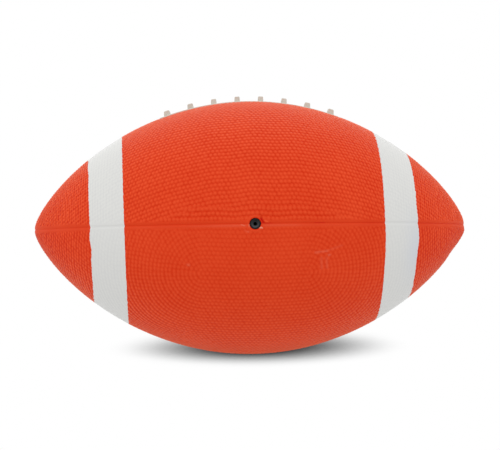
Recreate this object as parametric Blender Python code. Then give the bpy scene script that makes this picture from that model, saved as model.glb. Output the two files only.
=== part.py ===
"""American football in moulded rubber, in metres, +Z up, lying on a flat at its underside.

The ball's own frame has X along the ball, +Z through the laces and -Y through the valve. An empty rolls
that frame back about X, so that the valve looks up a little and the laces lean to +Y.
"""

import math

import bmesh
import bpy

# Ball
BALL_LENGTH = 0.286
BALL_DIAMETER = 0.1670
END_TAPER = 0.249
TIP_ROUNDNESS = 0.039
ROLL = math.radians(7.75)
REST_FLAT_DEPTH = 0.0008

# Wall, from the outside in
COVER_THICKNESS = 0.0022
CARCASS_THICKNESS = 0.0012
WINDING_THICKNESS = 0.0010
BLADDER_THICKNESS = 0.0012
CLEARANCE = 0.0003
TIP_THICKENING = 1.3

# Seams and painted rings
SEAM_WIDTH = 0.0040
SEAM_DEPTH = 0.0009
PANEL_TIP_RADIUS = 0.0015
STRIPE_TIP_DISTANCE = 0.0400
STRIPE_WIDTH = 0.0226
STRIPE_THICKNESS = 0.0004

# Laces
RUNG_COUNT = 8
RUNG_PITCH = 0.01545
RUNG_WIDTH = 0.0033
RUNG_LENGTH = 0.0260
RUNG_HEIGHT = 0.0036
RUNG_LEAN = 0.35
LACE_BASE_WIDTH = 0.0290
LACE_BASE_THICKNESS = 0.0013
LACE_BASE_PROUD = 0.0003
LACE_END_MARGIN = 0.0030
LACE_CORNER_RADIUS = 0.0030

# Valve
VALVE_FACE_DIAMETER = 0.0069
VALVE_FACE_CHAMFER = 0.0004
VALVE_FACE_RECESS = 0.0006
VALVE_STEM_DIAMETER = 0.0054
VALVE_LENGTH = 0.0160
VALVE_NOSE_LENGTH = 0.0030
VALVE_NOSE_DIAMETER = 0.0038
NEEDLE_HOLE_DIAMETER = 0.0019
NEEDLE_LEAD_IN = 0.0003
BOOT_WALL = 0.0016
BOOT_FLANGE_DIAMETER = 0.0220
BOOT_FLANGE_THICKNESS = 0.0016
BOOT_OVERHANG = 0.0010

# Facets
PANEL_FACETS = 8
MIDDLE_RINGS = 4
STRIPE_RINGS = 1
END_RINGS = 6
VALVE_FACETS = 20
SOLVER_STEPS = 40

HALF_LENGTH = BALL_LENGTH / 2
RADIUS = BALL_DIAMETER / 2
FACETS_AROUND = 4 * PANEL_FACETS
FACET_ANGLE = 2 * math.pi / FACETS_AROUND
QUARTER = math.pi / 2

# Where each painted ring starts and ends, from the ball's middle
STRIPE_END = HALF_LENGTH - STRIPE_TIP_DISTANCE
STRIPE_START = STRIPE_END - STRIPE_WIDTH

# How far each layer's outer and inner face lies below the ball's surface
CARCASS_TOP = COVER_THICKNESS + CLEARANCE
CARCASS_UNDERSIDE = CARCASS_TOP + CARCASS_THICKNESS
WINDING_TOP = CARCASS_UNDERSIDE + CLEARANCE
WINDING_UNDERSIDE = WINDING_TOP + WINDING_THICKNESS
BLADDER_TOP = WINDING_UNDERSIDE + CLEARANCE
BLADDER_UNDERSIDE = BLADDER_TOP + BLADDER_THICKNESS

BOOT_BORE_RADIUS = VALVE_STEM_DIAMETER / 2 + CLEARANCE
BOOT_RADIUS = BOOT_BORE_RADIUS + BOOT_WALL

PANEL_STARTS = {
    "front_upper": 0.0,
    "front_lower": QUARTER,
    "rear_lower": 2 * QUARTER,
    "rear_upper": 3 * QUARTER,
}


def taper(room):
    """How much slimmer the ball is than an ellipsoid, where room is 1 less the squared share of its half length."""
    return ((room + TIP_ROUNDNESS) / (1 + TIP_ROUNDNESS)) ** END_TAPER


def profile(share):
    """The ball's radius at a share of its half length, as a share of its largest radius."""
    room = max(1 - share * share, 0.0)
    return math.sqrt(room) * taper(room)


def profile_slope(share):
    """How fast the profile changes with the share."""
    room = 1 - share * share
    return -share * profile(share) * (1 / room + 2 * END_TAPER / (room + TIP_ROUNDNESS))


def share_at_radius(radius):
    """The share of the half length at which the ball has this radius: the profile solved by repeated guesses."""
    room = 0.0
    for _ in range(SOLVER_STEPS):
        room = (radius / RADIUS / taper(room)) ** 2
    return math.sqrt(1 - room)


def skin(share, angle, depth):
    """A point of the layer that lies this deep. Angle 0 is the lace seam, a quarter turn is the valve seam."""
    radius = (RADIUS - depth) * profile(share)
    along = (HALF_LENGTH - TIP_THICKENING * depth) * share
    return along, -radius * math.sin(angle), radius * math.cos(angle)


def spaced(start, end, count):
    """Count even steps from start to end, without the start itself."""
    return [start + (end - start) * step / count for step in range(1, count + 1)]


def half_stations():
    """Shares of the half length at which the rings of points lie, from the middle to the panels' tip.

    They come as three lists: up to the painted ring, across it, and from it to the tip.
    """
    stripe_start = STRIPE_START / HALF_LENGTH
    stripe_end = STRIPE_END / HALF_LENGTH
    end_radii = spaced(RADIUS * profile(stripe_end), PANEL_TIP_RADIUS, END_RINGS)
    middle = [0.0] + spaced(0.0, stripe_start, MIDDLE_RINGS)
    stripe = [stripe_start] + spaced(stripe_start, stripe_end, STRIPE_RINGS)
    end = [stripe_end] + [share_at_radius(radius) for radius in end_radii]
    return middle, stripe, end


def panel_columns(radius):
    """Angle from the panel's first seam, and depth of the seam groove, of each column of a panel's points."""
    edge = math.asin(CLEARANCE / 2 / radius)
    lip = min(math.asin(min(SEAM_WIDTH / 2 / radius, 1.0)), (edge + FACET_ANGLE) / 2)
    first = [(edge, SEAM_DEPTH), (lip, 0.0)]
    last = [(QUARTER - angle, depth) for angle, depth in reversed(first)]
    return first + [(FACET_ANGLE * step, 0.0) for step in range(1, PANEL_FACETS)] + last


def panel_row(start, share, depth, grooved):
    """One row of a panel's points, this deep below the surface, with the seam grooves or without."""
    columns = panel_columns(RADIUS * profile(share))
    return [skin(share, start + angle, depth + groove * grooved) for angle, groove in columns]


def lace_point(along, across, rise):
    """A point over the laces' part of the ball: distances along and across it, and height above its surface.

    Heights lean with the ball's outline, but only by a share of its slope, as the rungs do.
    """
    share = along / HALF_LENGTH
    radius = RADIUS * profile(share)
    lean = RUNG_LEAN * RADIUS * profile_slope(share) / HALF_LENGTH
    upright = 1 / math.hypot(1, lean)
    angle = across / radius
    reach = radius + upright * rise
    return along - lean * upright * rise, -reach * math.sin(angle), reach * math.cos(angle)


def rounded(share, sharpness):
    """Height of a rounded ridge at a share of its half width, from 1 on top to 0 at the edge."""
    return max(1 - abs(share) ** sharpness, 0.0) ** (1 / sharpness)


def place(name, mesh_data, parent, material):
    """Makes a node of a finished mesh and shades its round faces smooth."""
    mesh = bpy.data.meshes.new(name)
    mesh_data.to_mesh(mesh)
    mesh_data.free()
    mesh.shade_smooth()
    mesh.set_sharp_from_angle(angle=math.radians(40))
    node = bpy.data.objects.new(name, mesh)
    bpy.context.scene.collection.objects.link(node)
    node.parent = parent
    if material:
        mesh.materials.append(material)
    return node


def make_cutter(name, mesh_data, parent):
    cutter = place(name, mesh_data, parent, None)
    cutter.hide_render = True
    cutter.display_type = "WIRE"
    return cutter


def cut(node, cutter):
    boolean = node.modifiers.new(cutter.name, "BOOLEAN")
    boolean.operation = "DIFFERENCE"
    boolean.solver = "EXACT"
    boolean.object = cutter


def slab(top_rows, bottom_rows):
    """A closed block between two grids of points of the same count, walled in along their four edges."""
    mesh_data = bmesh.new()
    top = [[mesh_data.verts.new(point) for point in row] for row in top_rows]
    bottom = [[mesh_data.verts.new(point) for point in row] for row in bottom_rows]
    for grid in (top, bottom):
        for row, next_row in zip(grid, grid[1:]):
            for column in range(len(row) - 1):
                corners = row[column : column + 2] + next_row[column : column + 2][::-1]
                mesh_data.faces.new(corners)
    for top_edge, bottom_edge in zip(rim(top), rim(bottom)):
        mesh_data.faces.new(top_edge + bottom_edge[::-1])
    bmesh.ops.remove_doubles(mesh_data, verts=mesh_data.verts, dist=1e-6)
    bmesh.ops.recalc_face_normals(mesh_data, faces=mesh_data.faces)
    return mesh_data


def rim(grid):
    """The edges round a grid of points, each as a list of its two ends."""
    loop = grid[0] + [row[-1] for row in grid[1:-1]] + grid[-1][::-1] + [row[0] for row in grid[-2:0:-1]]
    return [[loop[index], loop[(index + 1) % len(loop)]] for index in range(len(loop))]


def layer_shell(outer_depth, inner_depth):
    """A closed skin of the ball's whole form between two depths, hollow inside."""
    middle, stripe, end = half_stations()
    half = middle + stripe[1:] + end[1:]
    shares = [-share for share in reversed(half[1:])] + half
    mesh_data = bmesh.new()
    for depth in (outer_depth, inner_depth):
        rings = [
            [mesh_data.verts.new(skin(share, FACET_ANGLE * step, depth)) for step in range(FACETS_AROUND)]
            for share in shares
        ]
        poles = [mesh_data.verts.new(skin(share, 0.0, depth)) for share in (-1.0, 1.0)]
        faces = []
        for step in range(FACETS_AROUND):
            after = (step + 1) % FACETS_AROUND
            for ring, next_ring in zip(rings, rings[1:]):
                faces.append([ring[step], next_ring[step], next_ring[after], ring[after]])
            faces.append([poles[0], rings[0][step], rings[0][after]])
            faces.append([rings[-1][step], poles[1], rings[-1][after]])
        for corners in faces:
            mesh_data.faces.new(corners if depth == inner_depth else corners[::-1])
    return mesh_data


def turned(points):
    """A solid turned about Z from a closed outline of (radius, height) points."""
    mesh_data = bmesh.new()
    verts = [mesh_data.verts.new((radius, 0.0, height)) for radius, height in points]
    edges = [mesh_data.edges.new((verts[index - 1], verts[index])) for index in range(len(verts))]
    bmesh.ops.spin(
        mesh_data,
        geom=verts + edges,
        axis=(0, 0, 1),
        cent=(0, 0, 0),
        angle=2 * math.pi,
        steps=VALVE_FACETS,
        use_merge=True,
    )
    bmesh.ops.remove_doubles(mesh_data, verts=mesh_data.verts, dist=1e-6)
    bmesh.ops.recalc_face_normals(mesh_data, faces=mesh_data.faces)
    return mesh_data


def rod(radius, low, high):
    """A round cutter about Z, with the same facets as the turned pieces."""
    mesh_data = turned([(0.0, high), (radius, high), (radius, low), (0.0, low)])
    loose = [edge for edge in mesh_data.edges if not edge.link_faces]
    bmesh.ops.delete(mesh_data, geom=loose, context="EDGES")
    bmesh.ops.recalc_face_normals(mesh_data, faces=mesh_data.faces)
    return mesh_data


def make_material(name, color, roughness):
    """A Principled material. The colour is linear RGB."""
    material = bpy.data.materials.new(name)
    material.use_nodes = True
    shader = material.node_tree.nodes["Principled BSDF"]
    shader.inputs["Base Color"].default_value = (*color, 1.0)
    shader.inputs["Roughness"].default_value = roughness
    shader.inputs["Metallic"].default_value = 0.0
    material.diffuse_color = (*color, 1.0)
    return material


def make_cover(frame):
    """Four panels. Each has grooved edges and a shallow bed for each painted ring."""
    orange = make_material("orange_rubber", (0.69, 0.05, 0.014), 0.55)
    bed_depth = STRIPE_THICKNESS + CLEARANCE
    middle, stripe, end = half_stations()
    half = [(share, 0.0) for share in middle]
    half += [(share, bed_depth) for share in stripe]
    half += [(share, 0.0) for share in end]
    stations = [(-share, depth) for share, depth in reversed(half[1:])] + half
    panels = {}
    for place_name, start in PANEL_STARTS.items():
        outer = [panel_row(start, share, depth, True) for share, depth in stations]
        inner = [panel_row(start, share, COVER_THICKNESS, False) for share, _ in stations]
        panels[place_name] = place(f"cover_panel_{place_name}", slab(outer, inner), frame, orange)
    return panels


def make_stripes(frame):
    """The white coat of each ring on each panel, filling its bed."""
    white = make_material("white_coat", (0.70, 0.70, 0.68), 0.5)
    start_share = (STRIPE_START + CLEARANCE) / HALF_LENGTH
    end_share = (STRIPE_END - CLEARANCE) / HALF_LENGTH
    shares = [start_share] + spaced(start_share, end_share, STRIPE_RINGS)
    coats = {place_name: [] for place_name in PANEL_STARTS}
    for side_name, side in (("left", -1), ("right", 1)):
        for place_name, start in PANEL_STARTS.items():
            outer = [panel_row(start, side * share, 0.0, True) for share in shares]
            inner = [panel_row(start, side * share, STRIPE_THICKNESS, True) for share in shares]
            coat = place(f"stripe_{side_name}_{place_name}", slab(outer, inner), frame, white)
            coats[place_name].append(coat)
    return coats


def lace_outline(growth):
    """Rows (along, half width) of the lace strip's rounded outline at its far end, grown by a clearance."""
    last_rung = RUNG_PITCH * (RUNG_COUNT - 1) / 2
    end = last_rung + RUNG_WIDTH / 2 + LACE_END_MARGIN + growth
    half_width = LACE_BASE_WIDTH / 2 + growth
    corner = min(LACE_CORNER_RADIUS, LACE_END_MARGIN, LACE_BASE_WIDTH / 2) + growth
    turns = [0.0, QUARTER / 2, QUARTER]
    return [
        (end - corner + corner * math.sin(turn), half_width - corner + corner * math.cos(turn))
        for turn in turns
    ]


def make_laces(frame, panels, coats):
    """One moulded ladder, let into a bed across the lace seam."""
    beige = make_material("beige_rubber", (0.60, 0.50, 0.42), 0.6)
    rungs = [RUNG_PITCH * (index - (RUNG_COUNT - 1) / 2) for index in range(RUNG_COUNT)]
    rung_shares = [-1.0, -0.9, -0.5, 0.5, 0.9, 1.0]
    end_rows = [(along, width, 0.0) for along, width in lace_outline(0.0)]
    rows = [(-along, width, ridge) for along, width, ridge in reversed(end_rows)]
    for center in rungs:
        for share in rung_shares:
            rows.append((center + share * RUNG_WIDTH / 2, LACE_BASE_WIDTH / 2, rounded(share, 4)))
    rows += end_rows
    half_columns = [(share * RUNG_LENGTH / 2, rounded(share, 6)) for share in (0.4, 0.78, 0.94, 1.0)]
    half_columns.append((LACE_BASE_WIDTH / 2, 0.0))
    columns = [(-across, ridge) for across, ridge in reversed(half_columns)] + [(0.0, 1.0)] + half_columns
    ridge_rise = RUNG_HEIGHT - LACE_BASE_PROUD
    underside = LACE_BASE_PROUD - LACE_BASE_THICKNESS
    top = []
    bottom = []
    for along, width, row_ridge in rows:
        narrowing = width / (LACE_BASE_WIDTH / 2)
        top.append(
            [
                lace_point(along, across * narrowing, LACE_BASE_PROUD + ridge_rise * row_ridge * ridge)
                for across, ridge in columns
            ]
        )
        bottom.append([lace_point(along, across * narrowing, underside) for across, _ in columns])
    place("lace_strip", slab(top, bottom), frame, beige)

    bed_ends = lace_outline(CLEARANCE)
    bed_rows = [(-along, width) for along, width in reversed(bed_ends)]
    bed_rows += [(center, LACE_BASE_WIDTH / 2 + CLEARANCE) for center in rungs]
    bed_rows += bed_ends
    bed_shares = [-1.0, -0.5, 0.0, 0.5, 1.0]
    over = [[lace_point(along, share * width, RUNG_HEIGHT) for share in bed_shares] for along, width in bed_rows]
    floor = [
        [lace_point(along, share * width, underside - CLEARANCE) for share in bed_shares]
        for along, width in bed_rows
    ]
    bed = make_cutter("lace_bed_cutter", slab(over, floor), frame)
    # On a short ball the bed reaches into the painted rings too.
    for place_name in ("front_upper", "rear_upper"):
        for node in [panels[place_name]] + coats[place_name]:
            cut(node, bed)


def make_valve(frame, panels, layers):
    """The core slides along the valve axis in the boot, which reaches through the layers into the bladder."""
    black = make_material("black_rubber", (0.014, 0.016, 0.013), 0.5)
    boot_black = make_material("boot_rubber", (0.03, 0.03, 0.03), 0.6)
    axis = bpy.data.objects.new("valve_axis", None)
    bpy.context.scene.collection.objects.link(axis)
    axis.parent = frame
    axis.rotation_euler = (QUARTER, 0, 0)

    face_height = RADIUS - VALVE_FACE_RECESS
    boot_top = RADIUS - CARCASS_UNDERSIDE
    shoulder = boot_top + CLEARANCE - face_height
    face_radius = VALVE_FACE_DIAMETER / 2
    stem_radius = VALVE_STEM_DIAMETER / 2
    hole_radius = NEEDLE_HOLE_DIAMETER / 2
    core = place(
        "valve_core",
        turned(
            [
                (hole_radius, -NEEDLE_LEAD_IN),
                (hole_radius + NEEDLE_LEAD_IN, 0.0),
                (face_radius - VALVE_FACE_CHAMFER, 0.0),
                (face_radius, -VALVE_FACE_CHAMFER),
                (face_radius, shoulder),
                (stem_radius, shoulder),
                (stem_radius, VALVE_NOSE_LENGTH - VALVE_LENGTH),
                (VALVE_NOSE_DIAMETER / 2, -VALVE_LENGTH),
                (hole_radius, -VALVE_LENGTH),
            ]
        ),
        axis,
        black,
    )
    core.location = (0, 0, face_height)

    # The flange lies flat under the curved bladder, so its rim is what comes nearest to it.
    bladder_radius = RADIUS - BLADDER_UNDERSIDE
    flange_radius = BOOT_FLANGE_DIAMETER / 2
    rim_height = math.sqrt(bladder_radius**2 - flange_radius**2)
    facet_dip = bladder_radius * (1 - math.cos(FACET_ANGLE / 2))
    flange_top = rim_height - facet_dip - CLEARANCE - boot_top
    boot_bottom = face_height - VALVE_LENGTH - BOOT_OVERHANG - boot_top
    boot = place(
        "valve_boot",
        turned(
            [
                (BOOT_BORE_RADIUS, 0.0),
                (BOOT_RADIUS, 0.0),
                (BOOT_RADIUS, flange_top),
                (flange_radius, flange_top),
                (flange_radius, flange_top - BOOT_FLANGE_THICKNESS),
                (BOOT_RADIUS, flange_top - BOOT_FLANGE_THICKNESS),
                (BOOT_RADIUS, boot_bottom),
                (BOOT_BORE_RADIUS, boot_bottom),
            ]
        ),
        axis,
        boot_black,
    )
    boot.location = (0, 0, boot_top)

    outside = RADIUS + SEAM_DEPTH
    cover_hole = make_cutter("valve_hole_cutter", rod(face_radius + CLEARANCE, boot_top, outside), axis)
    layer_hole = make_cutter("boot_hole_cutter", rod(BOOT_RADIUS + CLEARANCE, flange_top + boot_top, outside), axis)
    cut(panels["front_upper"], cover_hole)
    cut(panels["front_lower"], cover_hole)
    for layer in layers:
        cut(layer, layer_hole)


def make_layers(frame):
    """Carcass, winding and bladder, each open only where the valve boot goes through it."""
    carcass_rubber = make_material("carcass_rubber", (0.06, 0.05, 0.045), 0.7)
    nylon = make_material("nylon_yarn", (0.62, 0.60, 0.54), 0.65)
    butyl = make_material("butyl_rubber", (0.02, 0.02, 0.021), 0.45)
    return [
        place("carcass", layer_shell(CARCASS_TOP, CARCASS_UNDERSIDE), frame, carcass_rubber),
        place("winding", layer_shell(WINDING_TOP, WINDING_UNDERSIDE), frame, nylon),
        place("bladder", layer_shell(BLADDER_TOP, BLADDER_UNDERSIDE), frame, butyl),
    ]


def make_rest_flat(panel):
    """Cuts the underside flat where the ball lies on the ground."""
    mesh_data = bmesh.new()
    bmesh.ops.create_cube(mesh_data, size=BALL_DIAMETER)
    ground = make_cutter("ground_cutter", mesh_data, None)
    ground.location = (0, 0, -BALL_DIAMETER / 2)
    cut(panel, ground)


def main():
    for node in list(bpy.data.objects):
        bpy.data.objects.remove(node)
    frame = bpy.data.objects.new("ball_frame", None)
    bpy.context.scene.collection.objects.link(frame)
    frame.location = (0, 0, RADIUS - REST_FLAT_DEPTH)
    frame.rotation_euler = (-ROLL, 0, 0)
    panels = make_cover(frame)
    coats = make_stripes(frame)
    make_laces(frame, panels, coats)
    layers = make_layers(frame)
    make_valve(frame, panels, layers)
    make_rest_flat(panels["rear_lower"])


main()
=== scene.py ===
"""Dresses a moulded rubber football: pebbled panels, painted rings, laces and valve, on a white stage.

Lengths are in metres. The ball's own frame has X along the ball, +Z through the laces and -Y through the
valve. It is rolled back about X, so that the valve looks up a little, and lifted onto the floor.
"""

import math
from collections import namedtuple

import bpy
import numpy as np
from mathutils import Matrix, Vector

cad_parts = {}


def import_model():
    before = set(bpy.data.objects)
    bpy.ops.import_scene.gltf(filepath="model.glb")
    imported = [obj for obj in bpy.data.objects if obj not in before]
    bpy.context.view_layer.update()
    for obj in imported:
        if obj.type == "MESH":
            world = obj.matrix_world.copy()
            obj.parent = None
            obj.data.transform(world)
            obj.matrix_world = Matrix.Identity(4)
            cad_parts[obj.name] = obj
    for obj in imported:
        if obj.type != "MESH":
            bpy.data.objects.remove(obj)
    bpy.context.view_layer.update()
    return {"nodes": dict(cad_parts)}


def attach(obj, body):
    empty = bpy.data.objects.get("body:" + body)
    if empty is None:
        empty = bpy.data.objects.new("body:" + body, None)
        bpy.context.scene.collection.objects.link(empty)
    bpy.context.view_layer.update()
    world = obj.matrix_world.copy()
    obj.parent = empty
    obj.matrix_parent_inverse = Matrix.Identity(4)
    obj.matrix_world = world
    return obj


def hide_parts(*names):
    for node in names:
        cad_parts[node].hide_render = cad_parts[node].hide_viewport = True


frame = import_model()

bl_info = {
    "name": "Moulded rubber football",
    "version": (1, 0, 0),
    "blender": (4, 5, 0),
    "location": "View3D > Sidebar > Football",
    "description": "Builds a pebbled rubber football with rings, laces and a valve, on a white stage",
    "category": "Object",
}

MM = 0.001
QUARTER = math.pi / 2

# Quarter turns from the lace seam to each panel's first seam
PANELS = {"front_upper": 0, "front_lower": 1, "rear_lower": 2, "rear_upper": 3}
UPPER = (PANELS["front_upper"], PANELS["rear_upper"])
FRONT = (PANELS["front_upper"], PANELS["front_lower"])
RING_SIDES = {"left": -1, "right": 1}


def linear(hex_colour):
    """The linear RGB of an sRGB hex colour."""
    shares = np.array([int(hex_colour[start : start + 2], 16) for start in (1, 3, 5)]) / 255
    return tuple(np.where(shares <= 0.04045, shares / 12.92, ((shares + 0.055) / 1.055) ** 2.4))


def length(name, description, default):
    """A length that the user can set, in metres."""
    kind = {"min": 0.0, "precision": 5, "subtype": "DISTANCE", "unit": "LENGTH"}
    return bpy.props.FloatProperty(name=name, description=description, default=default, **kind)


def share(name, description, default):
    """A plain number from 0 to 1 that the user can set."""
    kind = {"min": 0.0, "max": 1.0, "precision": 3, "subtype": "FACTOR"}
    return bpy.props.FloatProperty(name=name, description=description, default=default, **kind)


def colour(name, description, hex_colour):
    """A colour that the user can set, written as sRGB hex and kept as linear RGB."""
    kind = {"default": linear(hex_colour), "min": 0.0, "max": 1.0, "size": 3, "subtype": "COLOR"}
    return bpy.props.FloatVectorProperty(name=name, description=description, **kind)


class FootballSizes(bpy.types.PropertyGroup):
    """Sizes of the ball and its parts."""

    ball_length: length("Length", "Tip to tip", 286 * MM)
    ball_diameter: length("Diameter", "Across the middle", 167 * MM)
    end_taper: share("End taper", "Power by which the ends are slimmer than an ellipsoid's", 0.249)
    tip_roundness: share("Tip roundness", "How far from the tips the taper lets go", 0.039)
    roll: bpy.props.FloatProperty(
        name="Roll",
        description="How far the laces lean back from straight up",
        default=math.radians(7.75),
        subtype="ANGLE",
        unit="ROTATION",
    )
    rest_dent: length("Rest dent", "How far the floor presses the underside flat", 0.8 * MM)
    cover_thickness: length("Cover thickness", "Of the panels' rubber", 2.2 * MM)
    seam_width: length("Seam width", "Of the groove where two panels meet", 2.8 * MM)
    seam_depth: length("Seam depth", "Of that groove at the ball's middle", 0.35 * MM)
    tip_seam_depth: length("Seam depth at the tips", "Of that groove at the ball's tips", 0.2 * MM)
    grain_pitch: length("Grain pitch", "From one row of pebbles to the next", 2.62 * MM)
    grain_spacing: length("Grain spacing", "From pebble to pebble in a row", 2.65 * MM)
    grain_height: length("Grain height", "Of the pebbles, before it is scaled by place", 0.28 * MM)
    mesh_step: length("Mesh step", "Between the points of the panels' surface", 0.7 * MM)
    ring_tip_distance: length("Ring to tip", "A ring's outer edge to the tip, along the ball", 40.0 * MM)
    ring_width: length("Ring width", "Of a painted ring, along the ball", 22.6 * MM)
    rung_pitch: length("Rung pitch", "From one lace rung to the next", 15.45 * MM)
    rung_width: length("Rung width", "Of a lace rung, along the ball", 3.3 * MM)
    rung_length: length("Rung length", "Of a lace rung, across the seam", 21.0 * MM)
    rung_height: length("Rung height", "Above the ball's surface", 3.6 * MM)
    rung_lean: share("Rung lean", "How far the rungs follow the tilt of the ball's outline", 0.35)
    rung_count: bpy.props.IntProperty(name="Rungs", description="Of the lace ladder", default=8, min=2)
    lace_width: length("Lace width", "Of the ladder's base strip, across the seam", 29.0 * MM)
    lace_margin: length("Lace margin", "Base strip beyond the last rung", 3.0 * MM)
    lace_proud: length("Lace base height", "Base strip above the ball's surface", 0.45 * MM)
    lace_thickness: length("Lace base thickness", "Of the base strip", 1.3 * MM)
    valve_diameter: length("Valve diameter", "Of the valve's face", 6.7 * MM)
    valve_recess: length("Valve recess", "Of the valve's face below the ball's surface", 0.6 * MM)
    valve_stem_diameter: length("Valve stem", "Diameter below the face", 5.4 * MM)
    valve_length: length("Valve length", "Face to nose", 16.0 * MM)
    valve_nose_diameter: length("Valve nose", "Diameter at the inner end", 3.8 * MM)
    needle_hole: length("Needle hole", "Diameter, for a pump's needle", 1.9 * MM)


class FootballColours(bpy.types.PropertyGroup):
    """Colours of the ball and its stage."""

    # Painted highlight and shade: the grain's tops take the lighter colour and its valleys the darker one.
    rubber_lit_top: colour("Rubber, pebbles", "Orange rubber on the pebbles' tops", "#E44820")
    rubber_shaded_valley: colour("Rubber, valleys", "Orange rubber between the pebbles", "#D22D00")
    # Also the colour of the painted highlight on the pebbles' tops towards the laces and the belly.
    rubber_flash_and_highlight: colour("Rubber, flash", "Thin pale rubber squeezed out of the seam", "#F6C7A8")
    # Painted highlight and shade on the rings: lighter on the grain's tops, greyer in its valleys.
    ring_lit_top: colour("Rings, pebbles", "White paint on the pebbles' tops", "#DBDBD8")
    ring_shaded_valley: colour("Rings, valleys", "White paint between the pebbles", "#D6D6D4")
    # A cooler grey that the right ring takes near its outer edge, a little below the valve seam.
    ring_cool: colour("Rings, handled", "White paint where hands have left it grey", "#CFD2D8")
    lace: colour("Laces", "Beige rubber", "#D4CEC3")
    lace_shade: colour("Laces, shaded", "Beige rubber where it is soiled", "#CCC3B7")
    valve: colour("Valve", "Black rubber", "#111312")
    # Painted light: the valve's dish takes this greyer colour where light falls on it, most where it looks
    # up.
    valve_painted_light: colour("Valve, dusty", "Black rubber under a film of dust", "#4C4D50")
    floor: colour("Floor", "Light that the white sheet gives back to the ball", "#E8E8E8")


def smooth(level):
    """Rises from 0 to 1 with flat ends: three squares less two cubes of the clipped level."""
    level = np.clip(level, 0, 1)
    return level * level * (3 - 2 * level)


def chance(first, second):
    """A fixed number from 0 to 1 for each pair of whole numbers: the fraction of a large sine."""
    return np.modf(np.abs(np.sin(first * 12.9898 + second * 78.233)) * 43758.5453)[0]


def bell(distance, spread):
    """1 at no distance, less on both sides: e to the power of minus the squared distance in spreads."""
    return np.exp(-((distance / spread) ** 2))


def wander(position, seed):
    """A smooth random line from -1 to 1: fixed numbers at whole positions, eased from each to the next."""
    whole = np.floor(position)
    ease = smooth(position - whole)
    return 2 * (chance(whole, seed) * (1 - ease) + chance(whole + 1, seed) * ease) - 1


def to_world(sizes, points):
    """Turns the ball's own frame back by its roll about X and lifts it by its radius less the rest dent."""
    cos, sin = math.cos(sizes.roll), math.sin(sizes.roll)
    x, y, z = np.moveaxis(points, -1, 0)
    lift = sizes.ball_diameter / 2 - sizes.rest_dent
    return np.stack([x, y * cos + z * sin, z * cos - y * sin + lift], axis=-1)


def outline(sizes, along):
    """The ball's radius at a distance from its middle, and that radius's slope along the ball.

    Room is 1 less the squared share of the half length. The radius is the largest radius times the root of
    the room, as on an ellipsoid, times ((room + roundness) / (1 + roundness)) ** taper. That slims the ends.
    """
    portion = np.clip(2 * along / sizes.ball_length, -1, 1)
    room = np.maximum(1 - portion * portion, 1e-9)
    slimness = ((room + sizes.tip_roundness) / (1 + sizes.tip_roundness)) ** sizes.end_taper
    radius = sizes.ball_diameter / 2 * np.sqrt(room) * slimness
    steepness = 1 / room + 2 * sizes.end_taper / (room + sizes.tip_roundness)
    return radius, -2 * portion * radius * steepness / sizes.ball_length


def skin(sizes, along, angle, rise):
    """The ball's form swollen by a rise: its radius grows by it, and its half length by 1.3 times as much.

    Angle 0 is the lace seam, and a quarter turn is the valve seam.
    """
    tip_swell = 1.3
    swell = 1 + rise / (sizes.ball_diameter / 2)
    reach = outline(sizes, along)[0] * swell
    along = along * (1 + tip_swell * rise / (sizes.ball_length / 2))
    return to_world(sizes, np.stack([along, -reach * np.sin(angle), reach * np.cos(angle)], axis=-1))


def meridian(sizes):
    """Distances over the skin from the middle, and the distances along the ball that they reach."""
    along = sizes.ball_length / 2 * np.sin(np.linspace(-QUARTER, QUARTER, 4001))
    radius = outline(sizes, along)[0]
    walked = np.concatenate([[0.0], np.cumsum(np.hypot(np.diff(along), np.diff(radius)))])
    return walked - walked[-1] / 2, along


Rows = namedtuple("Rows", "middle half_run pitch spacing stagger looseness half_size lean ridge kept")


def pebble_rows(radius_at, walk, across, rows):
    """Rows of low domes round a straight run, from 0 in the valleys to about 1 on top.

    Rows lie a pitch apart, straight beside the run and round at its ends. A row's pebbles are counted along
    it from the run's middle, a spacing apart. Every second row is staggered by a share of that, and each
    pebble is off its place by up to half the looseness. A dome is 1 less the squared distance from its
    centre, in half lengths along an axis that leans from the upright and half widths across it, times a
    number near 1. The domes stand on a low ridge along their row. Kept tells how far the rows are made.
    """
    lowest, spread = 0.93, 0.14
    least_kept = 0.02
    half_width, half_length = rows.half_size
    run = np.clip(walk - rows.middle[0], -rows.half_run, rows.half_run)
    past = walk - rows.middle[0] - run
    away = across - rows.middle[1]
    side = np.where(away < 0, -1, 1)
    number = np.hypot(past, away) / rows.pitch
    bearing = np.arctan2(past, np.abs(away))
    radius = radius_at(walk)
    height = np.zeros_like(walk)
    for step in (0, 1):
        row = np.floor(number) + step
        stagger = rows.stagger * (row % 2)
        pebble = np.round((run + row * rows.pitch * bearing) / rows.spacing - stagger)
        seed = pebble + 500 * side
        distance = (pebble + stagger + rows.looseness * (chance(seed, row) - 0.5)) * rows.spacing
        pebble_run = np.clip(distance, -rows.half_run, rows.half_run)
        turn = (distance - pebble_run) / np.maximum(row * rows.pitch, rows.pitch / 2)
        way = (row + rows.looseness * (chance(row, seed + 7) - 0.5)) * rows.pitch
        spot_walk = rows.middle[0] + pebble_run + way * np.sin(turn)
        spot_across = rows.middle[1] + side * way * np.cos(turn)
        aside = walk - spot_walk
        onward = across - spot_across * radius / radius_at(spot_walk)
        length_share = (aside * np.sin(rows.lean) + onward * np.cos(rows.lean)) / half_length
        width_share = (aside * np.cos(rows.lean) - onward * np.sin(rows.lean)) / half_width
        dome = (1 - length_share**2 - width_share**2) * (lowest + spread * chance(seed + 3, row))
        height = np.maximum(height, np.where(rows.kept(spot_walk, spot_across) > least_kept, dome, 0))
    crest = 0.5 + 0.5 * np.cos(4 * QUARTER * number)
    return (1 - rows.ridge) * height + rows.ridge * crest * rows.kept(walk, across)


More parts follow.
